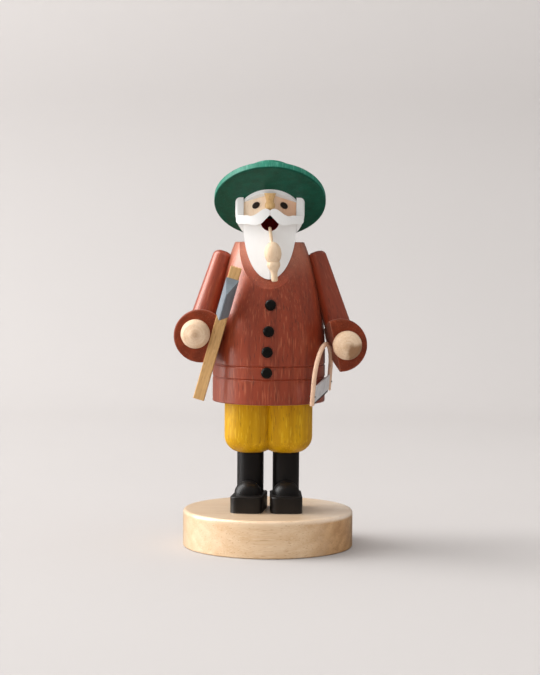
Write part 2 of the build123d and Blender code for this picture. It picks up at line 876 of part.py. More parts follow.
with BuildPart() as hat_dowels:
    with BuildSketch(hat_plane.offset(-hat_dowel_half)):
        with Locations(*dowel_places):
            Circle(hat_dowel_radius)
    extrude(amount=2 * hat_dowel_half)
finish(hat_dowels, "hat_dowels")

# Pipe
with BuildPart() as pipe_stem:
    with BuildSketch(stem_plane):
        Circle(stem_radius)
    extrude(amount=stem_run.length)
finish(pipe_stem, "pipe_stem")

neck_turn = acos(bowl_neck_radius / bowl_bead_radius)
bead_half_height = bowl_bead_height / (1 + sin(neck_turn))
small_bead_y = -bowl_bead_height - bowl_small_bead_drop
taper_y = small_bead_y - bowl_taper_length
with BuildPart() as pipe_bowl:
    with BuildSketch(bowl_plane):
        with BuildLine():
            EllipticalCenterArc(
                (0, -bead_half_height),
                bowl_bead_radius,
                bead_half_height,
                start_angle=-degrees(neck_turn),
                arc_size=degrees(neck_turn) + 90,
            )
            Spline(
                (bowl_neck_radius, -bowl_bead_height),
                (bowl_small_bead_radius, small_bead_y),
                (bowl_tip_radius, taper_y),
                tangents=((1, -1), (0, -1)),
            )
            Polyline(
                (bowl_tip_radius, taper_y),
                (bowl_tip_radius, taper_y - bowl_tip_length),
                (0, taper_y - bowl_tip_length),
                (0, 0),
            )
        make_face()
    bowl_axis = Axis(bowl_plane.origin, bowl_plane.y_dir)
    revolve(axis=bowl_axis)
    fillet(pipe_bowl.edges().sort_by(bowl_axis)[0], bowl_tip_round)
    add(stem_hole, mode=Mode.SUBTRACT)
finish(pipe_bowl, "pipe_bowl")

# Saw bow frame, used by the left cuff
bow_foot = Vector(bow_foot_x, -bow_foot_forward, hem + bow_foot_height)
along = Vector(
    sin(radians(bow_yaw)) * cos(radians(bow_pitch)),
    cos(radians(bow_yaw)) * cos(radians(bow_pitch)),
    sin(radians(bow_pitch)),
)
level = Vector(cos(radians(bow_yaw)), -sin(radians(bow_yaw)), 0)
upright = along.cross(level) * -1
bow_normal = level * cos(radians(bow_lean)) - upright * sin(radians(bow_lean))
bow_plane = Plane(origin=bow_foot, x_dir=along, z_dir=bow_normal)
bow_leg = bow_height - bow_span / 2


def swept_bow(radius):
    """The bent bow of the saw as a round bar of this radius."""
    with BuildPart() as bar:
        with BuildLine(bow_plane) as path:
            Line((0, 0), (0, bow_leg))
            ThreePointArc((0, bow_leg), (bow_span / 2, bow_height), (bow_span, bow_leg))
            Line((bow_span, bow_leg), (bow_span, 0))
        with BuildSketch(Plane(origin=bow_foot, z_dir=bow_plane.y_dir)):
            Circle(radius)
        sweep(path=path.wires()[0])
    return bar.part


bow_groove = swept_bow(bow_radius + seat_gap)

# Cuffs, hands and upper arms
elbow_bars = []
arm_bars = []
for side, sign in sides.items():
    frame = cuff_plane[side]
    with BuildPart() as cuff_blank:
        with BuildSketch(Plane(origin=frame.origin, x_dir=frame.x_dir, z_dir=frame.y_dir * -1)):
            with BuildLine():
                Polyline(
                    (0, 0),
                    (cuff_radius, 0),
                    (cuff_radius, -cuff_band),
                    (cuff_back_radius, -cuff_length),
                    (0, -cuff_length),
                    close=True,
                )
            make_face()
        revolve(axis=axis_of(frame))
        rings = cuff_blank.edges().filter_by(GeomType.CIRCLE).sort_by(axis_of(frame))
        fillet(rings[0], cuff_back_round)
        fillet(rings[-1], cuff_rim_round)
        split(bisect_by=flat_plane[side], keep=Keep.BOTTOM)
        add(coat.part, mode=Mode.SUBTRACT)

    elbow_line = arm_plane[side].offset(arm_length[side])
    elbow_hole = cylinder_along(
        elbow_line, elbow_dowel_radius + glue_gap, -elbow_dowel_length - glue_gap, glue_gap
    )
    with BuildPart() as cuff:
        add(cuff_blank.part)
        with BuildSketch(frame.offset(-hand_peg_length - glue_gap)):
            with Locations((sign * hand_out[side], hand_up[side])):
                Circle(hand_peg_radius + glue_gap)
        extrude(amount=hand_peg_length + glue_gap, mode=Mode.SUBTRACT)
        add(elbow_hole, mode=Mode.SUBTRACT)
        if side == "left":
            add(bow_groove, mode=Mode.SUBTRACT)
    finish(cuff, f"cuff_{side}")

    with BuildPart() as hand:
        middle = frame.origin + frame.x_dir * (sign * hand_out[side]) + frame.y_dir * hand_up[side]
        seat = Plane(origin=middle, x_dir=frame.x_dir, z_dir=frame.z_dir)
        with BuildSketch(Plane(origin=middle, x_dir=frame.x_dir, z_dir=frame.y_dir * -1)):
            with BuildLine():
                back = sqrt(hand_radius**2 - hand_set_in**2)
                cone_x = hand_radius * cos(radians(hand_cone_angle))
                cone_y = hand_set_in + hand_radius * sin(radians(hand_cone_angle))
                Line((0, 0), (back, 0))
                ThreePointArc(
                    (back, 0),
                    (hand_radius, hand_set_in),
                    (cone_x, cone_y),
                )
                Polyline(
                    (cone_x, cone_y),
                    (hand_tip_radius, hand_set_in + hand_tip_reach),
                    (0, hand_set_in + hand_tip_reach + hand_tip_rise),
                    (0, 0),
                )
            make_face()
        revolve(axis=Axis(middle, frame.z_dir))
        with BuildSketch(seat):
            Circle(hand_peg_radius)
        extrude(amount=-hand_peg_length)
    finish(hand, f"hand_{side}")

    with BuildPart() as upper_arm:
        plane = arm_plane[side]
        with BuildSketch(plane):
            Circle(arm_top_radius)
        with BuildSketch(plane.offset(arm_length[side])):
            Circle(arm_low_radius)
        loft()
        top_edge = upper_arm.edges().filter_by(GeomType.CIRCLE).sort_by(axis_of(plane))[0]
        fillet(top_edge, arm_top_round)
        add(coat.part, mode=Mode.SUBTRACT)
        add(cuff_blank.part, mode=Mode.SUBTRACT)
        split(bisect_by=flat_plane[side], keep=Keep.BOTTOM)
        with BuildSketch(dowel_plane[side].offset(-arm_dowel_depth)):
            Circle(arm_dowel_radius + glue_gap)
        extrude(amount=arm_dowel_depth + arm_dowel_reach + glue_gap, mode=Mode.SUBTRACT)
        add(elbow_hole, mode=Mode.SUBTRACT)
    finish(upper_arm, f"upper_arm_{side}")
    arm_bars.append(cylinder_along(dowel_plane[side], arm_dowel_radius, -arm_dowel_depth, arm_dowel_reach))
    elbow_bars.append(cylinder_along(elbow_line, elbow_dowel_radius, -elbow_dowel_length, 0))

for name, bars in (("arm_dowels", arm_bars), ("elbow_dowels", elbow_bars)):
    with BuildPart() as dowels:
        for bar in bars:
            add(bar)
    finish(dowels, name)

# Axe, glued to the flat inside of the right cuff
axe_flat = flat_plane["right"]
grip_front = axe_flat.origin + axe_flat.x_dir * handle_lead
grip_plane = Plane(origin=grip_front, x_dir=axe_flat.z_dir, z_dir=axe_flat.x_dir)
with BuildPart() as axe_handle:
    with BuildSketch(grip_plane):
        with Locations((handle_width / 2, (handle_upper_length - handle_lower_length) / 2)):
            Rectangle(handle_width, handle_upper_length + handle_lower_length)
    extrude(amount=-handle_thickness)
    fillet(axe_handle.edges().filter_by(Axis(grip_front, grip_plane.y_dir)), handle_edge_round)
finish(axe_handle, "axe_handle")

handle_end = grip_front + grip_plane.x_dir * (handle_width / 2) + grip_plane.y_dir * handle_upper_length
wedge_plane = Plane(origin=handle_end, x_dir=grip_plane.x_dir, z_dir=grip_plane.y_dir * -1)
side_plane = Plane(origin=handle_end, x_dir=grip_plane.z_dir, z_dir=grip_plane.x_dir)
with BuildPart() as axe_head:
    with BuildSketch(wedge_plane):
        with BuildLine():
            Polyline(
                (-axe_width / 2, 0),
                (axe_width / 2, 0),
                (axe_edge_width / 2, axe_depth),
                (-axe_edge_width / 2, axe_depth),
                close=True,
            )
        make_face()
    extrude(amount=axe_edge_drop + axe_edge_length)
    with BuildSketch(side_plane):
        with BuildLine():
            Polyline(
                (0, axe_drop),
                (axe_depth, axe_edge_drop),
                (axe_depth, axe_edge_drop + axe_edge_length),
                (0, axe_drop + axe_back_length),
                close=True,
            )
        make_face()
    extrude(amount=axe_width, both=True, mode=Mode.INTERSECT)
finish(axe_head, "axe_head")

# Bow saw, let into the flat inside of the left cuff
blade_middle = blade_low + tooth_depth + (blade_height - tooth_depth) / 2
pin_places = [(0, blade_middle), (bow_span, blade_middle)]
pin_half = bow_radius + pin_overhang


def pin_pair(radius):
    """Both pins of the saw as round bars of this radius."""
    with BuildPart() as pair:
        with BuildSketch(bow_plane.offset(-pin_half)):
            with Locations(*pin_places):
                Circle(radius)
        extrude(amount=2 * pin_half)
    return pair.part


with BuildPart() as saw_bow:
    add(swept_bow(bow_radius))
    with BuildSketch(bow_plane):
        with Locations((bow_span / 2, blade_low + blade_height / 2)):
            Rectangle(bow_span + 2 * (blade_end + seat_gap), blade_height + 2 * seat_gap)
    extrude(amount=blade_thickness / 2 + seat_gap, both=True, mode=Mode.SUBTRACT)
    add(pin_pair(pin_radius + seat_gap), mode=Mode.SUBTRACT)
finish(saw_bow, "saw_bow")

with BuildPart() as saw_blade:
    with BuildSketch(bow_plane):
        with BuildLine():
            first_tooth = 2 * bow_radius
            tooth_pitch = (bow_span - 2 * first_tooth) / blade_teeth
            root = blade_low + tooth_depth
            edge = [(-blade_end, blade_low + blade_height), (-blade_end, root), (first_tooth, root)]
            for number in range(blade_teeth):
                start = first_tooth + number * tooth_pitch
                edge += [(start + tooth_pitch / 2, blade_low), (start + tooth_pitch, root)]
            edge += [(bow_span + blade_end, root), (bow_span + blade_end, blade_low + blade_height)]
            Polyline(*edge, close=True)
        make_face()
    extrude(amount=blade_thickness / 2, both=True)
    add(pin_pair(pin_radius + seat_gap), mode=Mode.SUBTRACT)
finish(saw_blade, "saw_blade")

with BuildPart() as saw_pins:
    add(pin_pair(pin_radius))
finish(saw_pins, "saw_pins")
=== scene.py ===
import json
import logging
import math
from dataclasses import dataclass, field, replace
from enum import Enum

import bpy
from mathutils import Euler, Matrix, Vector

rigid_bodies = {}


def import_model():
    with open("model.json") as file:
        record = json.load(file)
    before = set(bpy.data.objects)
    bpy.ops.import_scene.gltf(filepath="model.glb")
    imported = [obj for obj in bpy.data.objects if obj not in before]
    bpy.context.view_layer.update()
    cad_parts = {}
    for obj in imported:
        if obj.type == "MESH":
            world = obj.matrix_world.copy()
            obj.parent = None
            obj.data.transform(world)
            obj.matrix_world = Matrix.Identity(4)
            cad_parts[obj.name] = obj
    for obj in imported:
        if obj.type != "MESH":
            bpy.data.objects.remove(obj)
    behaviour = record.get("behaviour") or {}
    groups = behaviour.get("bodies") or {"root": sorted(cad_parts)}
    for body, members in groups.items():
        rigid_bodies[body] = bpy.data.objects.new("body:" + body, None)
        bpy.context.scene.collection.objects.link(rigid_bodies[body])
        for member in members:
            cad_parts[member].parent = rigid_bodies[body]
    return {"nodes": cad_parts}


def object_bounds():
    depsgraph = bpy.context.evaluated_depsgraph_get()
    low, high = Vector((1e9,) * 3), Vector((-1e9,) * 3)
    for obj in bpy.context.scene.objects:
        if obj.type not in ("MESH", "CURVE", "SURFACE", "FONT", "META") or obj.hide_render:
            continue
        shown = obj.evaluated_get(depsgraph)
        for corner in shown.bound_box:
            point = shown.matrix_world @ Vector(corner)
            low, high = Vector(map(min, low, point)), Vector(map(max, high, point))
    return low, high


# Studio scene of a turned wooden incense smoker, a bearded woodsman on a round stand.
# The frame is the imported model's, in metres: +Z up, the figure faces -Y, its left arm is on +X.
# Patterns, rings and the sub-assemblies' sizes are in millimetres and all turns in degrees.
# Relief, the reach of the paler edges and the studio's sizes are in metres.

for leftover in list(bpy.data.objects):
    bpy.data.objects.remove(leftover)
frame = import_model()
cad_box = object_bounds()

log = logging.getLogger("incense_smoker")
millimetres = 1000.0
noise_middle = 0.5

Colour = tuple[int, int, int]
Band = tuple[float, float]
Socket = bpy.types.NodeSocket


def linear(colour: Colour) -> tuple[float, float, float, float]:
    """Turn a display colour into the linear colour that shaders take.

    Args:
        colour: Red, green and blue as they look on a screen, 0 to 255.

    Returns:
        Linear red, green, blue and a full alpha.
    """
    parts = []
    for value in colour:
        share = value / 255
        # The numbers are those of the screen's standard curve.
        parts.append(share / 12.92 if share <= 0.04045 else ((share + 0.055) / 1.055) ** 2.4)
    return (parts[0], parts[1], parts[2], 1.0)


class Run(Enum):
    """Which way a piece's grain or brush strokes run, as a turn in degrees that stands them upright."""

    UPRIGHT = (0.0, 0.0, 0.0)
    CROSSWISE = (0.0, -88.0, 0.0)
    FORWARD = (-90.0, 0.0, 0.0)
    LEFT_ARM = (10.0, 18.0, 0.0)
    RIGHT_ARM = (13.0, -17.0, 0.0)
    AXE_HANDLE = (0.0, -16.1, 0.0)
    HAT = (37.7, 0.0, 0.0)

    def turn(self) -> Euler:
        """Give the turn in radians."""
        return Euler([math.radians(angle) for angle in self.value])


@dataclass(frozen=True)
class Pattern:
    """Noise stretched along the grain.

    The sizes across and along the grain are changes per millimetre, detail is how many finer layers there
    are, and the band is where the noise's marks start to show and where they are full.
    """

    across: float
    along: float
    detail: float
    band: Band = (0.0, 1.0)


class Nodes:
    """A node tree, with short calls for the nodes that the scene uses."""

    def __init__(self, tree: bpy.types.NodeTree) -> None:
        """Take the tree to add nodes to."""
        self.tree = tree

    def node(self, kind: str, inputs: dict[str | int, object], **settings: object) -> bpy.types.Node:
        """Add a node.

        Args:
            kind: Blender's name of the node.
            inputs: Socket name or number to a value or to the socket that feeds it.
            settings: The node's own options.

        Returns:
            The new node.
        """
        made = self.tree.nodes.new(kind)
        for option, value in settings.items():
            setattr(made, option, value)
        for key, value in inputs.items():
            self.feed(made.inputs[key], value)
        return made

    def feed(self, socket: Socket, value: object) -> None:
        """Link a socket to its source, or set a plain value on it.

        Args:
            socket: The socket to fill.
            value: A socket or a plain value.
        """
        if isinstance(value, bpy.types.NodeSocket):
            self.tree.links.new(value, socket)
        else:
            socket.default_value = value

    def calc(self, operation: str, *values: object) -> Socket:
        """Work out one sum.

        Args:
            operation: Blender's name of the sum.
            values: Sockets or numbers.

        Returns:
            The result's socket.
        """
        return self.node("ShaderNodeMath", dict(enumerate(values)), operation=operation).outputs[0]

    def plus(self, first: object, second: object) -> Socket:
        """Add two values."""
        return self.calc("ADD", first, second)

    def minus(self, first: object, second: object) -> Socket:
        """Take the second value from the first."""
        return self.calc("SUBTRACT", first, second)

    def times(self, first: object, second: object) -> Socket:
        """Multiply two values."""
        return self.calc("MULTIPLY", first, second)

    def distance(self, aside: Socket, ahead: Socket) -> Socket:
        """Give the length of a line from how far it goes in two square directions."""
        return self.calc("SQRT", self.plus(self.times(aside, aside), self.times(ahead, ahead)))

    def parts(self, vector: Socket) -> list[Socket]:
        """Split a vector into its X, Y and Z."""
        return list(self.node("ShaderNodeSeparateXYZ", {0: vector}).outputs)

    def mix(self, share: object, under: object, over: object) -> Socket:
        """Lay one colour over another.

        Args:
            share: How much of the upper colour shows.
            under: The lower colour.
            over: The upper colour.

        Returns:
            The mixed colour's socket.
        """
        made = self.node("ShaderNodeMix", {0: share, 6: under, 7: over}, data_type="RGBA")
        return made.outputs[2]

    def step(self, value: Socket, band: Band) -> Socket:
        """Rise smoothly from 0 to 1.

        Args:
            value: The value to read.
            band: Where the rise starts and ends.

        Returns:
            The rise's socket.
        """
        inputs = {"Value": value, "From Min": band[0], "From Max": band[1]}
        made = self.node("ShaderNodeMapRange", inputs, interpolation_type="SMOOTHSTEP")
        return made.outputs[0]


class Sheet(Nodes):
    """The node sheet of one material."""

    ring_warp = 9.0
    edge_reach = 0.0007
    edge_band: Band = (0.995, 0.88)

    def __init__(self, name: str) -> None:
        """Start a sheet.

        Args:
            name: The material's name.
        """
        self.material = bpy.data.materials.new(name)
        self.material.use_nodes = True
        super().__init__(self.material.node_tree)
        self.shader = self.tree.nodes["Principled BSDF"]

    def surface(self, name: str, value: object) -> None:
        """Fill one of the shader's own sockets."""
        self.feed(self.shader.inputs[name], value)

    def finished(self, colour: Socket) -> bpy.types.Material:
        """Give the surface its colour.

        Args:
            colour: The colour's socket.

        Returns:
            The finished material.
        """
        self.surface("Base Color", colour)
        return self.material

    def place(self, run: Run) -> Socket:
        """Give the point on the piece in millimetres, turned so that the grain stands upright.

        Args:
            run: Which way the grain runs.

        Returns:
            The point's socket.
        """
        point = self.node("ShaderNodeTexCoord", {}).outputs["Object"]
        inputs = {"Vector": point, "Rotation": run.turn()}
        turned = self.node("ShaderNodeVectorRotate", inputs, rotation_type="EULER_XYZ")
        inputs = {0: turned.outputs[0], 3: millimetres}
        return self.node("ShaderNodeVectorMath", inputs, operation="SCALE").outputs[0]

    def spot(self) -> list[Socket]:
        """Give the point's X, Y and Z in millimetres."""
        return self.parts(self.place(Run.UPRIGHT))

    def noise(self, place: Socket, pattern: Pattern, seed: float) -> Socket:
        """Read a pattern.

        Args:
            place: The point in millimetres, grain upright.
            pattern: The noise's sizes.
            seed: Which of many like patterns it is.

        Returns:
            The noise's socket, about 0.5 on the whole.
        """
        inputs = {0: place, 1: (pattern.across, pattern.across, pattern.along)}
        scaled = self.node("ShaderNodeVectorMath", inputs, operation="MULTIPLY").outputs[0]
        inputs = {"Vector": scaled, "W": seed, "Scale": 1.0, "Detail": pattern.detail}
        return self.node("ShaderNodeTexNoise", inputs, noise_dimensions="4D").outputs["Fac"]

    def marks(self, place: Socket, pattern: Pattern, seed: float) -> Socket:
        """Read the marks that a pattern leaves where it rises through its band.

        Args:
            place: The point in millimetres, grain upright.
            pattern: The noise's sizes.
            seed: Which of many like patterns it is.

        Returns:
            The marks' socket, 0 to 1.
        """
        return self.step(self.noise(place, pattern, seed), pattern.band)

    def rings(self, place: Socket, pith: Band, pitch: float, warp: Socket) -> Socket:
        """Read year rings round an upright line.

        Args:
            place: The point in millimetres, grain upright.
            pith: Where the line stands.
            pitch: The rings' distance in millimetres.
            warp: Noise that bends the rings.

        Returns:
            The rings' socket, 0 to 1.
        """
        parts = self.parts(place)
        radius = self.distance(self.minus(parts[0], pith[0]), self.minus(parts[1], pith[1]))
        turns = self.times(radius, 2 * math.pi / pitch)
        wave = self.calc("SINE", self.plus(turns, self.times(warp, self.ring_warp)))
        return self.calc("MULTIPLY_ADD", wave, 0.5, 0.5)

    def edges(self) -> Socket:
        """Find the piece's sharp edges.

        Returns:
            The edges' socket, 0 on faces and 1 on edges.
        """
        rounded = self.node("ShaderNodeBevel", {"Radius": self.edge_reach}).outputs[0]
        plain = self.node("ShaderNodeNewGeometry", {}).outputs["Normal"]
        alike = self.node("ShaderNodeVectorMath", {0: rounded, 1: plain}, operation="DOT_PRODUCT")
        return self.step(alike.outputs["Value"], self.edge_band)

    def roughen(self, texture: Socket, roughness: float, spread: float, drop: float) -> None:
        """Make the surface rougher where its texture rises.

        Args:
            texture: The texture, 0 to 1.
            roughness: The roughness on the whole.
            spread: How much the texture adds.
            drop: How far below the whole it starts.
        """
        self.surface("Roughness", self.plus(self.times(texture, spread), roughness - drop))

    def varnish(self, weight: float, roughness: float) -> None:
        """Lay a clear coat over the surface, if it has one.

        Args:
            weight: How full the coat is.
            roughness: The coat's roughness.
        """
        if weight:
            self.surface("Coat Weight", weight)
            self.surface("Coat Roughness", roughness)

    def bump(self, height: Socket, depth: float) -> None:
        """Give the surface relief.

        Args:
            height: The relief, 0 to 1.
            depth: Its full depth in metres.
        """
        made = self.node("ShaderNodeBump", {"Strength": 1.0, "Distance": depth, "Height": height})
        self.surface("Normal", made.outputs[0])


class Finish:
    """A finish that can draw itself. The last one laid on a sheet gives the gloss and the relief."""

    name: str

    def lay(self, sheet: Sheet) -> Socket:
        """Draw the finish on a sheet and give its colour's socket."""
        raise NotImplementedError

    def material(self) -> bpy.types.Material:
        """Make the finish's material."""
        sheet = Sheet(self.name)
        return sheet.finished(self.lay(sheet))


slow_streaks = Pattern(0.22, 0.014, 3.0, (0.3, 0.7))
fibres = Pattern(2.4, 0.12, 4.0)
dash_marks = Pattern(1.25, 0.13, 1.5, (0.56, 0.68))
pore_marks = Pattern(1.5, 0.2, 1.0, (0.6, 0.7))
tight_dashes = replace(dash_marks, across=1.7)
fine_pores = replace(pore_marks, across=2.2, along=0.14)
paint_clouds = Pattern(0.12, 0.10, 2.0, (0.3, 0.75))
brush_strokes = Pattern(1.9, 0.12, 3.0, (0.45, 0.8))
rolling_marks = Pattern(4.0, 0.15, 3.0)
dull_patches = Pattern(0.3, 0.3, 2.0, (0.35, 0.75))


@dataclass(frozen=True)
class WoodFinish(Finish):
    """Wood, bare or stained: slow streaks, year rings, pale dashes along the grain, open pores."""

    name: str
    ground: Colour
    shade: Colour
    dash: Colour
    pore: Colour
    run: Run = Run.UPRIGHT
    streak: float = 0.5
    ring: float = 0.15
    ring_pitch: float = 3.4
    dash_share: float = 0.5
    pore_share: float = 0.5
    fibre_share: float = 0.8
    dashes: Pattern = dash_marks
    pores: Pattern = pore_marks
    pore_depth: float = 0.8
    roughness: float = 0.5
    gloss: float = 0.3
    tint: Colour = (255, 255, 255)
    nap: float = 0.0
    varnish: float = 0.0
    varnish_roughness: float = 0.3
    pale_edge_share: float = 0.0
    pith: Band = (46.0, 31.0)
    relief: float = 0.00006
    seed: float = 0.0

    def lay(self, sheet: Sheet) -> Socket:
        """Draw the wood on a sheet.

        Args:
            sheet: The sheet to draw on.

        Returns:
            The colour's socket.
        """
        place = sheet.place(self.run)
        slow = sheet.noise(place, slow_streaks, self.seed)
        fibre = sheet.noise(place, fibres, self.seed + 1.0)
        dashes = sheet.marks(place, self.dashes, self.seed + 2.0)
        pores = sheet.marks(place, self.pores, self.seed + 3.0)
        ring = sheet.rings(place, self.pith, self.ring_pitch, slow)
        tone = sheet.times(sheet.step(slow, slow_streaks.band), self.streak)
        tone = sheet.plus(tone, sheet.times(ring, self.ring))
        tone = sheet.plus(tone, sheet.times(sheet.minus(fibre, noise_middle), self.fibre_share))
        colour = sheet.mix(tone, linear(self.ground), linear(self.shade))
        colour = sheet.mix(sheet.times(dashes, self.dash_share), colour, linear(self.dash))
        colour = sheet.mix(sheet.times(pores, self.pore_share), colour, linear(self.pore))
        # Paler on the sharp edges.
        if self.pale_edge_share:
            colour = sheet.mix(sheet.times(sheet.edges(), self.pale_edge_share), colour, linear(self.dash))
        sheet.roughen(fibre, self.roughness, spread=0.2, drop=0.1)
        sheet.surface("Specular IOR Level", self.gloss)
        sheet.surface("Specular Tint", linear(self.tint))
        sheet.surface("Sheen Weight", self.nap)
        sheet.surface("Sheen Tint", linear(self.tint))
        sheet.varnish(self.varnish, self.varnish_roughness)
        sheet.bump(sheet.minus(fibre, sheet.times(pores, self.pore_depth)), self.relief)
        return colour


@dataclass(frozen=True)
class PaintFinish(Finish):
    """Brushed paint or lacquer: soft clouds of tone, faint strokes and paler sharp edges."""

    name: str
    ground: Colour
    shade: Colour
    run: Run = Run.UPRIGHT
    cloud: float = 0.5
    stroke: float = 0.3
    roughness: float = 0.5
    gloss: float = 0.3
    varnish: float = 0.0
    varnish_roughness: float = 0.12
    pale_edge_share: float = 0.0
    # The colour of the paler sharp edges.
    wear: Colour = (90, 86, 82)
    relief: float = 0.00004
    seed: float = 0.0

    def lay(self, sheet: Sheet) -> Socket:
        """Draw the paint on a sheet.

        Args:
            sheet: The sheet to draw on.

        Returns:
            The colour's socket.
        """
        place = sheet.place(self.run)
        cloud = sheet.marks(place, paint_clouds, self.seed)
        stroke = sheet.noise(place, brush_strokes, self.seed + 1.0)
        lines = sheet.step(stroke, brush_strokes.band)
        tone = sheet.plus(sheet.times(cloud, self.cloud), sheet.times(lines, self.stroke))
        colour = sheet.mix(tone, linear(self.ground), linear(self.shade))
        # Paler on the sharp edges.
        if self.pale_edge_share:
            colour = sheet.mix(sheet.times(sheet.edges(), self.pale_edge_share), colour, linear(self.wear))
        sheet.roughen(stroke, self.roughness, spread=0.2, drop=0.1)
        sheet.surface("Specular IOR Level", self.gloss)
        sheet.varnish(self.varnish, self.varnish_roughness)
        sheet.bump(stroke, self.relief)
        return colour


@dataclass(frozen=True)
class MetalFinish(Finish):
    """Bare metal with rolling marks and duller patches."""

    name: str
    ground: Colour
    shade: Colour
    run: Run = Run.FORWARD
    metal: float = 1.0
    roughness: float = 0.4
    relief: float = 0.00001
    seed: float = 0.0

    def lay(self, sheet: Sheet) -> Socket:
        """Draw the metal on a sheet.

        Args:
            sheet: The sheet to draw on.

        Returns:
            The colour's socket.
        """
        place = sheet.place(self.run)
        marks = sheet.noise(place, rolling_marks, self.seed)
        patch = sheet.marks(place, dull_patches, self.seed + 1.0)
        sheet.roughen(marks, self.roughness, spread=0.25, drop=0.12)
        sheet.surface("Metallic", self.metal)
        sheet.bump(marks, self.relief)
        return sheet.mix(patch, linear(self.ground), linear(self.shade))


coat_wood = WoodFinish(
    "brown_stained_wood", (154, 55, 25), (121, 39, 16), (202, 116, 80), (76, 24, 9),
    streak=0.6, ring=0.15, dash_share=0.4, pore_share=0.6, dashes=replace(tight_dashes, along=0.12),
    roughness=0.46, gloss=1.0, varnish=1.0, tint=(255, 190, 164), nap=0.1, seed=3.0,
)
# Paler brown toward the coat's neck: stain paled by wear, and painted light on the upward-facing
# shoulders.
rubbed_and_lit_brown = WoodFinish(
    "rubbed_and_lit_brown_wood", (204, 134, 106), (180, 108, 82), (226, 170, 146), (128, 70, 48),
    streak=0.5, ring=0.1, dash_share=0.3, pore_share=0.4, seed=7.0,
)
cuff_wood = WoodFinish(
    "brown_stained_cuff", (138, 54, 27), (106, 37, 16), (206, 136, 108), (66, 22, 10),
    run=Run.FORWARD, streak=0.7, ring=0.15, dash_share=0.12, pore_share=0.5, dashes=tight_dashes,
    roughness=0.48, gloss=0.5, tint=(255, 205, 184), nap=0.2, pale_edge_share=0.7, seed=4.0,
)
trouser_wood = WoodFinish(
    "yellow_stained_wood", (211, 160, 10), (182, 129, 5), (234, 195, 52), (131, 85, 3),
    streak=0.7, ring=0.2, dash_share=0.45, pore_share=0.5, roughness=0.42, gloss=0.5,
    tint=(255, 232, 170), seed=11.0,
)
hat_wood = WoodFinish(
    "green_stained_wood", (10, 86, 66), (6, 64, 48), (30, 114, 92), (4, 40, 29),
    run=Run.HAT, streak=0.6, ring=0.15, dash_share=0.2, pore_share=0.3, roughness=0.42, gloss=0.3,
    seed=21.0,
)
# Paler green for the hat's rim and top: stain paled by wear, and a painted highlight.
rubbed_and_lit_green = WoodFinish(
    "rubbed_and_lit_green_wood", (42, 130, 106), (26, 102, 82), (104, 178, 156), (12, 62, 48),
    run=Run.HAT, streak=0.5, ring=0.1, dash_share=0.4, pore_share=0.3, seed=22.0,
)
beech = WoodFinish(
    "clear_beech", (234, 204, 168), (218, 180, 136), (244, 222, 192), (184, 134, 88),
    run=Run.CROSSWISE, streak=0.6, ring=0.3, ring_pitch=5.0, dash_share=0.3, pore_share=0.55,
    pores=fine_pores, roughness=0.42, gloss=0.4, varnish=1.0, relief=0.00003, seed=31.0,
)
# Pale beech for the disc's top: a painted highlight.
lit_top_beech = WoodFinish(
    "beech_lit_top", (250, 231, 210), (241, 214, 187), (252, 238, 222), (214, 172, 134),
    run=Run.CROSSWISE, streak=0.5, ring=0.2, ring_pitch=5.0, dash_share=0.3, pore_share=0.4, seed=32.0,
)
# Darker beech for the disc's edge away from the lamp: inner wood grain and painted shade.
heartwood_and_shade = WoodFinish(
    "beech_heartwood_and_shade", (216, 172, 120), (186, 136, 86), (228, 190, 144), (150, 98, 56),
    run=Run.CROSSWISE, streak=0.9, ring=0.35, ring_pitch=6.0, dash_share=0.3, pore_share=0.6, seed=33.0,
)
pale_wood = WoodFinish(
    "pale_maple", (228, 202, 172), (214, 180, 144), (240, 222, 198), (190, 148, 110),
    streak=0.5, ring=0.2, dash_share=0.3, pore_share=0.35, roughness=0.5, gloss=0.3, seed=41.0,
)
hand_wood = WoodFinish(
    "pale_hand", (230, 202, 172), (208, 170, 132), (238, 216, 190), (176, 134, 96),
    run=Run.FORWARD, streak=0.4, ring=0.22, ring_pitch=1.6, dash_share=0.3, pore_share=0.3,
    roughness=0.5, gloss=0.4, seed=42.0,
)
plain_wood = WoodFinish(
    "plain_beech", (214, 176, 134), (190, 146, 102), (228, 196, 158), (150, 104, 66),
    streak=0.6, ring=0.25, dash_share=0.3, pore_share=0.6, roughness=0.6, gloss=0.2, seed=51.0,
)
sooty_wood = WoodFinish(
    "sooty_beech", (150, 116, 82), (112, 82, 56), (174, 140, 104), (70, 50, 34),
    streak=0.9, ring=0.25, dash_share=0.2, pore_share=0.6, seed=52.0,
)
handle_wood = WoodFinish(
    "handle_pine", (216, 174, 118), (190, 145, 90), (230, 198, 150), (150, 106, 62),
    run=Run.AXE_HANDLE, streak=0.6, ring=0.3, ring_pitch=1.6, dash_share=0.3, pore_share=0.4,
    roughness=0.55, gloss=0.25, seed=61.0,
)
cane = WoodFinish(
    "bent_cane", (232, 196, 168), (212, 168, 136), (242, 218, 196), (170, 122, 90),
    streak=0.5, ring=0.1, dash_share=0.3, pore_share=0.4, roughness=0.5, gloss=0.3, seed=71.0,
)
face_wood = WoodFinish(
    "face_wood", (250, 226, 198), (240, 204, 168), (252, 234, 212), (214, 160, 122),
    streak=0.5, ring=0.1, dash_share=0.25, pore_share=0.25, roughness=0.42, gloss=0.7, seed=81.0,
)
nose_wood = WoodFinish(
    "nose_wood", (226, 188, 132), (204, 160, 102), (236, 206, 158), (160, 116, 72),
    streak=0.6, ring=0.2, ring_pitch=1.2, dash_share=0.3, pore_share=0.4, roughness=0.5, gloss=0.3,
    seed=91.0,
)
white_paint = PaintFinish(
    "white_paint", (240, 239, 237), (230, 229, 227), cloud=0.4, stroke=0.25, roughness=0.55,
    gloss=0.25, seed=5.0,
)
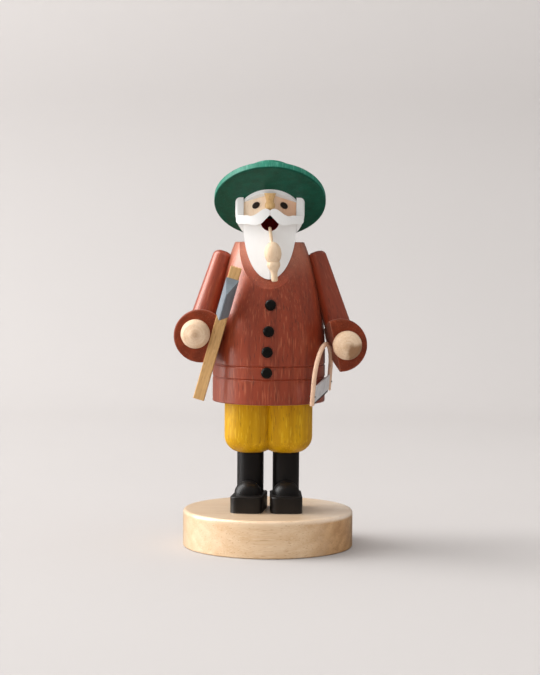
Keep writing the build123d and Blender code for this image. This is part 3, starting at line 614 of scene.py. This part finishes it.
black_lacquer = PaintFinish(
    "black_lacquer", (25, 21, 19), (16, 13, 12), cloud=0.5, stroke=0.5, roughness=0.4, gloss=0.4,
    pale_edge_share=0.6, relief=0.00006, seed=15.0,
)
button_gloss = PaintFinish(
    "button_gloss", (19, 17, 13), (12, 10, 8), cloud=0.4, stroke=0.3, roughness=0.36, gloss=0.25,
    varnish=0.1, seed=25.0,
)
eye_gloss = PaintFinish(
    "eye_gloss", (44, 32, 26), (28, 20, 17), cloud=0.4, stroke=0.2, roughness=0.4, gloss=0.3, seed=35.0,
)
axe_paint = PaintFinish(
    "blue_grey_paint", (128, 138, 145), (98, 107, 115), run=Run.AXE_HANDLE, cloud=0.6, stroke=0.5,
    roughness=0.48, gloss=0.45, seed=45.0,
)
blade_steel = MetalFinish(
    "blade_steel", (240, 239, 240), (222, 221, 222), metal=0.3, roughness=0.45, seed=2.0
)
nail_steel = MetalFinish("nail_steel", (176, 172, 168), (136, 132, 128), roughness=0.4, seed=4.0)
dish_brass = MetalFinish("dish_brass", (196, 158, 92), (150, 112, 60), roughness=0.38, seed=6.0)


class SubAssembly:
    """A group of the object's pieces that are dressed together."""

    def dress(self) -> None:
        """Finish the group's pieces."""
        raise NotImplementedError

    def wear(self, material: bpy.types.Material, *names: str) -> None:
        """Give pieces their finish.

        Args:
            material: The finish's material.
            names: The pieces.
        """
        for name in names:
            slots = frame["nodes"][name].data.materials
            slots.clear()
            slots.append(material)
            log.info("%s wears %s", name, material.name)

    def points(self, name: str) -> list[Vector]:
        """Give a piece's points in millimetres."""
        return [millimetres * vertex.co for vertex in frame["nodes"][name].data.vertices]


@dataclass
class Stand(SubAssembly):
    """The beech disc with the shoes, boots and trousers that stay on it."""

    sides: tuple[str, str] = ("left", "right")
    # The disc's top is paler with a painted highlight; its edge away from the lamp is darker, inner wood
    # and painted shade.
    heart_and_shade_band: Band = (12.0, 40.0)
    top_band: Band = (16.0, 17.6)
    lit_top_share: float = 0.22

    def board(self) -> bpy.types.Material:
        """Make the disc's beech, paler on top with a painted highlight that is strongest on the side away
        from the lamp, where the edge below is darker inner wood with painted shade.

        Returns:
            The material.
        """
        sheet = Sheet("beech_board")
        heart_and_shade = heartwood_and_shade.lay(sheet)
        lit_top = lit_top_beech.lay(sheet)
        clear = beech.lay(sheet)
        x, _, z = sheet.spot()
        # The top pales with a painted highlight, fully so on the side away from the lamp.
        top = sheet.step(z, self.top_band)
        pale = sheet.mix(sheet.times(top, self.lit_top_share), clear, lit_top)
        # On the side away from the lamp the edge is darker: inner wood and painted shade.
        side = sheet.mix(top, heart_and_shade, lit_top)
        return sheet.finished(sheet.mix(sheet.step(x, self.heart_and_shade_band), pale, side))

    def dress(self) -> None:
        """Finish the stand's pieces."""
        self.wear(self.board(), "base_disc")
        lacquer = black_lacquer.material()
        trousers = trouser_wood.material()
        for side in self.sides:
            self.wear(lacquer, f"shoe_{side}", f"toe_cap_{side}", f"boot_shaft_{side}")
            self.wear(trousers, f"trouser_{side}")


@dataclass
class Hearth(SubAssembly):
    """The plug under the coat with its dowels, the brass dish and its nail."""

    def dress(self) -> None:
        """Finish the hearth's pieces."""
        self.wear(plain_wood.material(), "hip_plug", "leg_dowels")
        self.wear(dish_brass.material(), "incense_plate")
        self.wear(nail_steel.material(), "plate_nail")


@dataclass
class Coat(SubAssembly):
    """The hollow coat with its buttons."""

    buttons: int = 4
    # The paler band below the neck is stain paled by wear and painted light on the upward-facing
    # shoulders.
    rubbed_and_lit_start: float = 22.0
    rubbed_and_lit_full: float = 3.0
    rubbed_and_lit_share: float = 0.55
    chamber_radius: float = 21.5
    chamber_fade: Band = (0.6, 0.3)
    roof_start: float = 112.0
    roof_slope: float = 0.52

    def rubbed_and_lit_coat(self) -> bpy.types.Material:
        """Make the coat's brown stain, paler toward the neck, where wear and painted light on the
        upward-facing shoulders pale it, with bare wood in the smoke chamber.

        Returns:
            The material.
        """
        top = max(point.z for point in self.points("coat"))
        sheet = Sheet("brown_stained_coat")
        bare = sooty_wood.lay(sheet)
        rubbed_and_lit = rubbed_and_lit_brown.lay(sheet)
        stained = coat_wood.lay(sheet)
        x, y, z = sheet.spot()
        # Paler toward the neck: wear and painted light on the shoulders.
        rubbed_and_lit_mask = sheet.step(z, (top - self.rubbed_and_lit_start, top - self.rubbed_and_lit_full))
        colour = sheet.mix(sheet.times(rubbed_and_lit_mask, self.rubbed_and_lit_share), stained, rubbed_and_lit)
        roof = sheet.calc("MAXIMUM", sheet.minus(z, self.roof_start), 0.0)
        reach = sheet.plus(sheet.distance(x, y), sheet.times(roof, self.roof_slope))
        start, full = self.chamber_fade
        inside = sheet.step(reach, (self.chamber_radius + start, self.chamber_radius + full))
        return sheet.finished(sheet.mix(inside, colour, bare))

    def dress(self) -> None:
        """Finish the coat and its buttons."""
        self.wear(self.rubbed_and_lit_coat(), "coat")
        gloss = button_gloss.material()
        for number in range(1, self.buttons + 1):
            self.wear(gloss, f"button_{number}")


@dataclass
class Head(SubAssembly):
    """Head with beard, face, hair, moustache, pipe and hat."""

    mouth_height: float = 165.6
    mouth_radius: float = 4.5
    duct_forward: float = 8.0
    duct_radius: float = 4.0
    bore_fade: Band = (0.15, 0.02)
    mouth_red: Colour = (196, 30, 38)
    # The left cheek, away from the lamp, turns rosy: blush and painted shade.
    cheek: Colour = (240, 176, 134)
    cheek_band: Band = (-1.0, 8.0)
    cheek_share: float = 0.6
    # The band above the hat's underside where the green turns paler: wear and a painted highlight.
    rim_start: float = 0.2
    rim_full: float = 0.9

    def with_mouth(self, finish: Finish, name: str, rosy: float = 0.0) -> bpy.types.Material:
        """Make a finish whose mouth bore and smoke duct are red.

        Args:
            finish: The outside's finish.
            name: The material's name.
            rosy: How much of the cheek's tone shows on the left cheek, the side away from the lamp, where
                it is blush and painted shade.

        Returns:
            The material.
        """
        sheet = Sheet(name)
        colour = finish.lay(sheet)
        x, y, z = sheet.spot()
        # A rosy tone on the left cheek: blush and painted shade away from the lamp.
        if rosy:
            share = sheet.times(sheet.step(x, self.cheek_band), rosy)
            colour = sheet.mix(share, colour, linear(self.cheek))
        start, full = self.bore_fade
        bores = []
        for offset, radius in (
            (sheet.minus(z, self.mouth_height), self.mouth_radius),
            (sheet.plus(y, self.duct_forward), self.duct_radius),
        ):
            bores.append(sheet.step(sheet.distance(x, offset), (radius + start, radius + full)))
        inside = sheet.calc("MAXIMUM", *bores)
        return sheet.finished(sheet.mix(inside, colour, linear(self.mouth_red)))

    def rubbed_and_lit_hat(self) -> bpy.types.Material:
        """Make the hat's green stain, paler on the rim and the top: stain paled by wear, and a painted
        highlight where the light catches the rim.

        Returns:
            The material.
        """
        turn = hat_wood.run.turn().to_matrix()
        under = min((turn @ point).z for point in self.points("hat"))
        sheet = Sheet("green_stained_hat")
        rubbed_and_lit = rubbed_and_lit_green.lay(sheet)
        stained = hat_wood.lay(sheet)
        height = sheet.parts(sheet.place(hat_wood.run))[2]
        # Paler above the underside: wear and a painted highlight on the rim and top.
        share = sheet.step(height, (under + self.rim_start, under + self.rim_full))
        return sheet.finished(sheet.mix(share, stained, rubbed_and_lit))

    def dress(self) -> None:
        """Finish the head's pieces."""
        white = white_paint.material()
        self.wear(self.with_mouth(white_paint, "white_paint_with_mouth"), "head")
        self.wear(self.with_mouth(face_wood, "face_wood_with_mouth", self.cheek_share), "face")
        self.wear(white, "hair_fringe", "hair_left", "hair_right", "moustache_left", "moustache_right")
        self.wear(nose_wood.material(), "nose")
        self.wear(eye_gloss.material(), "eye_left", "eye_right")
        self.wear(pale_wood.material(), "pipe_stem", "pipe_bowl")
        self.wear(self.rubbed_and_lit_hat(), "hat")
        self.wear(plain_wood.material(), "hat_dowels")


@dataclass
class Arms(SubAssembly):
    """Upper arms, bell cuffs and hands with the dowels inside."""

    runs: dict[str, Run] = field(default_factory=lambda: {"left": Run.LEFT_ARM, "right": Run.RIGHT_ARM})
    sleeve_dashes: float = 0.3
    # The dark tone is end grain with painted shade: round the middle of each hand, and on one hand over a
    # low sector away from the lamp.
    figure: Colour = (142, 97, 57)
    core_band: Band = (3.4, 0.3)
    core_share: float = 0.4
    shaded_quarter_hand: str = "left"
    ragged: Pattern = Pattern(0.5, 0.3, 3.0)
    ragged_width: float = 3.0
    shaded_quarter_aside: Band = (0.2, 3.0)
    shaded_quarter_below: Band = (0.6, -2.4)
    shaded_quarter_share: float = 0.85

    def hand(self, side: str) -> bpy.types.Material:
        """Make a hand's end grain: rings round a darker middle, the pith with painted shade, and on one
        hand a dark sector of painted shade low on the side away from the lamp.

        Args:
            side: Which hand.

        Returns:
            The material.
        """
        points = self.points(f"hand_{side}")
        middle_x = (min(point.x for point in points) + max(point.x for point in points)) / 2
        middle_z = (min(point.z for point in points) + max(point.z for point in points)) / 2
        finish = replace(hand_wood, name=f"hand_{side}_wood", pith=(middle_x, middle_z))
        sheet = Sheet(finish.name)
        colour = finish.lay(sheet)
        x, _, z = sheet.spot()
        aside = sheet.minus(x, middle_x)
        above = sheet.minus(z, middle_z)
        # Darker round the middle: the pith with painted shade.
        dark = sheet.times(sheet.step(sheet.distance(aside, above), self.core_band), self.core_share)
        # One hand gets a sector of painted shade, low on the side away from the lamp.
        if side == self.shaded_quarter_hand:
            ragged = sheet.noise(sheet.place(finish.run), self.ragged, finish.seed)
            ragged = sheet.times(ragged, self.ragged_width)
            right = sheet.step(sheet.plus(aside, ragged), self.shaded_quarter_aside)
            low = sheet.step(sheet.minus(above, ragged), self.shaded_quarter_below)
            shaded_quarter = sheet.times(sheet.times(right, low), self.shaded_quarter_share)
            dark = sheet.calc("MAXIMUM", dark, shaded_quarter)
        return sheet.finished(sheet.mix(dark, colour, linear(self.figure)))

    def dress(self) -> None:
        """Finish the arms' pieces."""
        cuffs = cuff_wood.material()
        for side, run in self.runs.items():
            name = f"brown_stained_arm_{side}"
            sleeve = replace(coat_wood, name=name, run=run, dash_share=self.sleeve_dashes)
            self.wear(sleeve.material(), f"upper_arm_{side}")
            self.wear(cuffs, f"cuff_{side}")
            self.wear(self.hand(side), f"hand_{side}")
        self.wear(plain_wood.material(), "arm_dowels", "elbow_dowels")


@dataclass
class Tools(SubAssembly):
    """The axe on the right cuff and the bow saw on the left one."""

    tooth_rise: float = 0.185
    tooth_height: float = 1.5
    tooth_fade: float = 0.5
    tooth_dark: Colour = (70, 62, 62)

    def toothed(self) -> bpy.types.Material:
        """Make the blade's steel with its dark ground teeth.

        Returns:
            The material.
        """
        low = min(point.z - self.tooth_rise * point.y for point in self.points("saw_blade"))
        root = low + self.tooth_height
        sheet = Sheet("toothed_steel")
        colour = blade_steel.lay(sheet)
        _, y, z = sheet.spot()
        height = sheet.minus(z, sheet.times(y, self.tooth_rise))
        share = sheet.step(height, (root, root - self.tooth_fade))
        return sheet.finished(sheet.mix(share, colour, linear(self.tooth_dark)))

    def dress(self) -> None:
        """Finish the axe and the saw."""
        self.wear(handle_wood.material(), "axe_handle")
        self.wear(axe_paint.material(), "axe_head")
        self.wear(cane.material(), "saw_bow")
        self.wear(self.toothed(), "saw_blade")
        self.wear(nail_steel.material(), "saw_pins")


@dataclass(frozen=True)
class Lamp:
    """A soft rectangular lamp that faces the figure from the left, turned toward the camera and raised."""

    name: str
    turn: float
    rise: float
    distance: float
    width: float
    height: float
    power: float
    mirrored: bool = True

    def build(self) -> None:
        """Make the lamp."""
        lamp = bpy.data.lights.new(self.name, "AREA")
        lamp.shape = "RECTANGLE"
        lamp.size, lamp.size_y = self.width, self.height
        lamp.energy = self.power
        holder = bpy.data.objects.new(self.name, lamp)
        turn, rise = math.radians(self.turn), math.radians(self.rise)
        away = Vector((-math.cos(turn) * math.cos(rise), -math.sin(turn) * math.cos(rise), math.sin(rise)))
        middle = (cad_box[0] + cad_box[1]) / 2
        holder.location = middle + away * self.distance
        holder.rotation_euler = away.to_track_quat("Z", "Y").to_euler()
        holder.visible_glossy = self.mirrored
        bpy.context.scene.collection.objects.link(holder)


@dataclass
class Studio:
    """Pale sweep of paper, soft light from the left and the camera.

    The paper's tone is drawn like a finish, so its cloud and its band are in millimetres.
    """

    window: Lamp = Lamp(
        "window", turn=-6.0, rise=31.0, distance=2.2, width=1.5, height=3.0, power=91.0
    )
    board: Lamp = Lamp(
        "pale_board", turn=42.0, rise=4.0, distance=2.0, width=1.0, height=1.0, power=8.6, mirrored=False
    )
    room: Colour = (250, 249, 248)
    wall_glow: float = 0.42
    ceiling_glow: float = 1.3
    mirrored: float = 0.18
    paper: Colour = (184, 180, 178)
    # Paler paper up the backdrop: painted light that makes up for the dimmer wall.
    paper_brightened_wall: Colour = (204, 200, 198)
    paper_dip: float = 0.985
    paper_cloud: Pattern = Pattern(0.004, 0.004, 2.0)
    paper_seed: float = 1.0
    wall_brightening_band: Band = (0.0, 500.0)
    paper_roughness: float = 0.9
    paper_gloss: float = 0.1
    front: float = 1.6
    back: float = 0.95
    half_width: float = 2.6
    wall: float = 2.2
    sweep: float = 0.3
    sweep_steps: int = 16
    camera_distance: float = 0.924
    camera_height: float = 0.16
    camera_pitch: float = 3.3
    camera_yaw: float = -0.006
    camera_roll: float = -0.41
    lens: float = 96.5

    def build(self) -> None:
        """Make the paper sweep, the lamps, the room and the camera."""
        self.build_sweep()
        for lamp in (self.window, self.board):
            lamp.build()
        self.build_room()
        self.build_camera()

    def build_sweep(self) -> None:
        """Make the floor that curves up into the backdrop."""
        outline = [(-self.front, 0.0)]
        for number in range(self.sweep_steps + 1):
            angle = math.radians(90.0 * number / self.sweep_steps)
            run = self.back - self.sweep + self.sweep * math.sin(angle)
            outline.append((run, self.sweep - self.sweep * math.cos(angle)))
        outline.append((self.back, self.wall))
        points = [(side * self.half_width, y, z) for y, z in outline for side in (-1, 1)]
        faces = [(2 * n, 2 * n + 1, 2 * n + 3, 2 * n + 2) for n in range(len(outline) - 1)]
        mesh = bpy.data.meshes.new("paper_sweep")
        mesh.from_pydata(points, [], faces)
        mesh.shade_smooth()
        mesh.materials.append(self.paper_finish())
        paper = bpy.data.objects.new("paper_sweep", mesh)
        bpy.context.scene.collection.objects.link(paper)
        log.info("paper_sweep stands behind the figure")

    def paper_finish(self) -> bpy.types.Material:
        """Make the matt paper, paler up the backdrop with painted light where less lamp light reaches the
        wall, and dimmer in reflections.

        Returns:
            The material.
        """
        sheet = Sheet("studio_paper")
        tone = sheet.noise(sheet.place(Run.UPRIGHT), self.paper_cloud, self.paper_seed)
        under = tuple(round(value * self.paper_dip) for value in self.paper)
        colour = sheet.mix(tone, linear(self.paper), linear(under))
        # Painted light: the paper pales up the backdrop, where less lamp light falls.
        rise = sheet.step(sheet.spot()[2], self.wall_brightening_band)
        colour = sheet.mix(rise, colour, linear(self.paper_brightened_wall))
        glossy = sheet.node("ShaderNodeLightPath", {}).outputs["Is Glossy Ray"]
        dim = sheet.mix(1.0 - self.mirrored, colour, linear((0, 0, 0)))
        sheet.surface("Roughness", self.paper_roughness)
        sheet.surface("Specular IOR Level", self.paper_gloss)
        return sheet.finished(sheet.mix(glossy, colour, dim))

    def build_room(self) -> None:
        """Make the even light of the room, brightest overhead and dimmer in reflections."""
        world = bpy.data.worlds.new("studio_room")
        world.use_nodes = True
        nodes = Nodes(world.node_tree)
        around = nodes.node("ShaderNodeTexCoord", {}).outputs["Generated"]
        inputs = {"Value": nodes.parts(around)[2], "To Min": self.wall_glow, "To Max": self.ceiling_glow}
        glow = nodes.node("ShaderNodeMapRange", inputs).outputs[0]
        glossy = nodes.node("ShaderNodeLightPath", {}).outputs["Is Glossy Ray"]
        inputs = {"Value": glossy, "To Min": 1.0, "To Max": self.mirrored}
        dim = nodes.node("ShaderNodeMapRange", inputs).outputs[0]
        background = nodes.tree.nodes["Background"]
        nodes.feed(background.inputs["Color"], linear(self.room))
        nodes.feed(background.inputs["Strength"], nodes.times(glow, dim))
        bpy.context.scene.world = world

    def build_camera(self) -> None:
        """Make the camera at the photograph's viewing angle."""
        camera = bpy.data.cameras.new("camera")
        camera.lens = self.lens
        holder = bpy.data.objects.new("camera", camera)
        holder.location = (0.0, -self.camera_distance, self.camera_height)
        angles = (90.0 - self.camera_pitch, self.camera_roll, self.camera_yaw)
        holder.rotation_euler = [math.radians(angle) for angle in angles]
        bpy.context.scene.collection.objects.link(holder)
        bpy.context.scene.camera = holder


def main() -> None:
    """Dress the figure and set up the studio."""
    logging.basicConfig(level=logging.INFO, format="%(message)s")
    for group in (Stand(), Hearth(), Coat(), Head(), Arms(), Tools()):
        group.dress()
    Studio().build()
    bpy.context.scene.view_settings.view_transform = "Standard"


if __name__ == "__main__":
    main()
